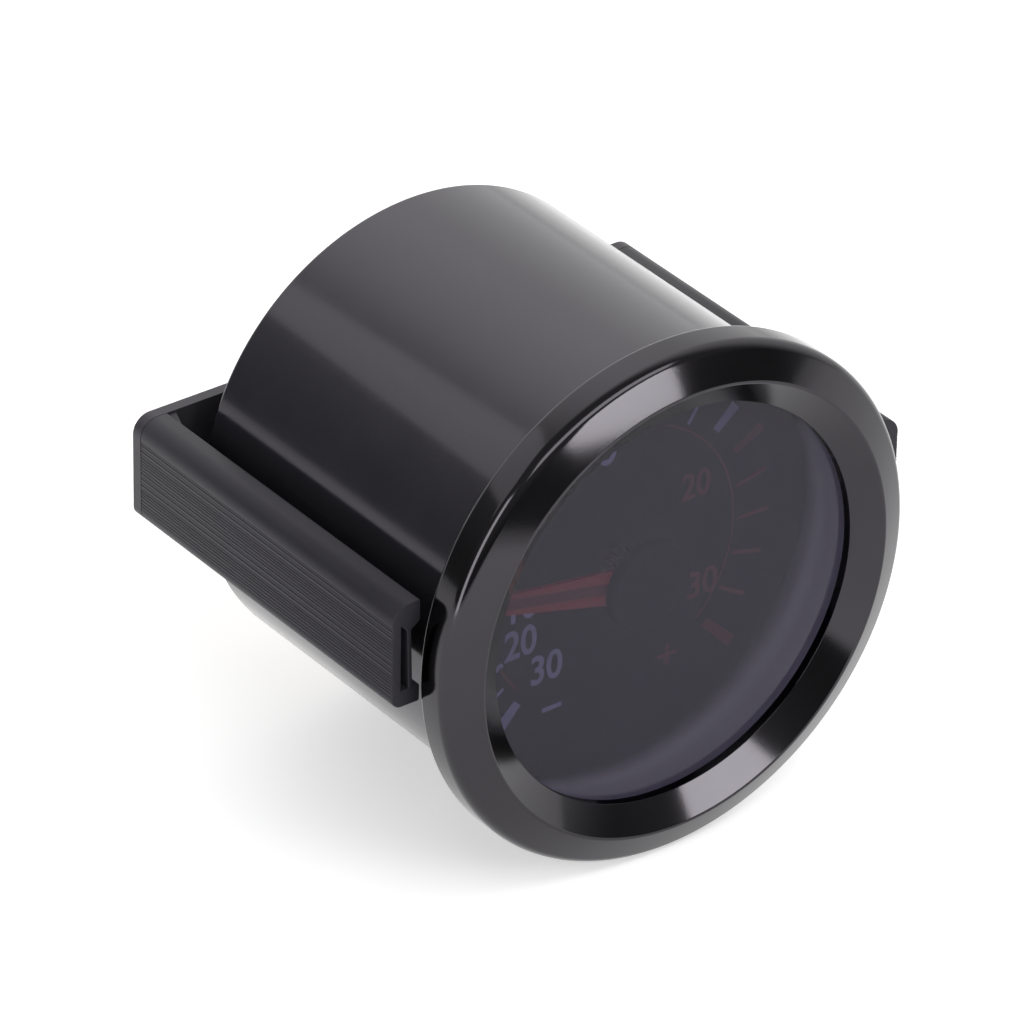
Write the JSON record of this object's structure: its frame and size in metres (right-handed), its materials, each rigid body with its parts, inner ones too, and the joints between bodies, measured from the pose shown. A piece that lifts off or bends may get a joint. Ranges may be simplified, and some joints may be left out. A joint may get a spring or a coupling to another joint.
{
  "type": "boost gauge",
  "caption": "Round dial gauge with a black bezel, tube-driven needle movement, rear pressure port and a U-shaped clamp bracket on two studs.",
  "frame": {"origin": "centre of the bezel's back face, the seat that meets the front of the panel", "axes": "the dial faces -Y, +X is the dial's right as read, +Z is the dial's top; +Y runs back through the panel along the case"},
  "size_m": [0.0632, 0.0593, 0.0576],
  "materials": {
    "black_chrome": "glossy black chrome plate",
    "tinted_lens": "clear grey-tinted mineral glass",
    "black_rubber": "soft matt rubber",
    "spacer_plastic": "satin blue-grey plastic",
    "case_black": "semi-gloss black enamel",
    "dark_screw": "black oxide",
    "dial_grey": "matt dark grey, printed",
    "pointer_red": "satin red paint",
    "black_plastic": "gloss black",
    "brass": "machined brass",
    "spring_bronze": "bright strip",
    "white_plastic": "matt white",
    "board_green": "green lacquered board",
    "lamp_lens": "translucent pale yellow",
    "bright_steel": "zinc plated",
    "tube_bronze": "drawn phosphor bronze",
    "bracket_black": "satin black powder coat",
    "arm_black": "satin black anodised extrusion"
  },
  "bodies": {
    "case": {"bezel": "black_chrome", "lens": "tinted_lens", "lens_gasket": "black_rubber", "spacer_ring": "spacer_plastic", "case_body": "case_black", "rear_cover": "case_black", "cover_screws": "dark_screw", "dial_plate": "dial_grey", "hairspring": "spring_bronze", "hairspring_anchor": "brass", "reflector_tray": "white_plastic", "lamp_board": "board_green", "lamps": "lamp_lens", "tray_screws": "bright_steel", "front_plate": "brass", "back_plate": "brass", "pillars": "brass", "stop_pins": "bright_steel", "tip_pin": "bright_steel", "tube_tip": "brass", "bourdon_tube": "tube_bronze", "socket_block": "brass", "restrictor": "bright_steel", "movement_screws": "bright_steel", "port_ring": "black_rubber", "port_nut": "brass", "wire_grommet": "black_rubber", "studs": "bright_steel"},
    "sector": {"sector_gear": "brass", "sector_arbor": "bright_steel", "tail_pin": "bright_steel"},
    "link": {"link": "bright_steel"},
    "pointer": {"pointer": "pointer_red", "hub_cap": "black_plastic", "pinion_arbor": "brass", "hairspring_collet": "brass"},
    "bracket": {"bracket_plate": "bracket_black", "left_arm": "arm_black", "right_arm": "arm_black", "arm_screws": "dark_screw", "flat_washers": "bright_steel", "spring_washers": "bright_steel"},
    "left_nut": {"left_thumb_nut": "brass"},
    "right_nut": {"right_thumb_nut": "brass"}
  },
  "joints": [
    {"name": "sector_swing", "type": "hinge", "parent": "case", "child": "sector", "pos_m": [0.00771, 0.017, -0.01101], "axis": [0, 1, 0], "range_deg": [-26.62, 7.12], "stiffness_Nm_per_rad": 0.02, "deforming": ["bourdon_tube"]},
    {"name": "pointer_turn", "type": "hinge", "parent": "case", "child": "pointer", "pos_m": [0, 0.017, 0], "axis": [0, 1, 0], "range_deg": [-57, 213], "deforming": ["hairspring"]},
    {"name": "link_swing", "type": "hinge", "parent": "sector", "child": "link", "pos_m": [0.00958, 0.018, -0.01458], "axis": [0, 1, 0], "range_deg": [-7.3, 26.8]},
    {"name": "bracket_slide", "type": "slide", "parent": "case", "child": "bracket", "axis": [0, 1, 0], "range_m": [0, 0.004]},
    {"name": "left_nut_turn", "type": "hinge", "parent": "bracket", "child": "left_nut", "pos_m": [-0.011, 0.048, 0.0029], "axis": [0, 1, 0], "range_deg": [0, 2058]},
    {"name": "right_nut_turn", "type": "hinge", "parent": "bracket", "child": "right_nut", "pos_m": [0.011, 0.048, 0.0029], "axis": [0, 1, 0], "range_deg": [0, 2058]}
  ],
  "couplings": [
    {"joint": "pointer_turn", "follows": "sector_swing", "ratio": -8},
    {"joint": "link_swing", "follows": "sector_swing", "ratio": -1},
    {"joint": "left_nut_turn", "follows": "bracket_slide", "rad_per_m": 8976},
    {"joint": "right_nut_turn", "follows": "bracket_slide", "rad_per_m": 8976}
  ]
}
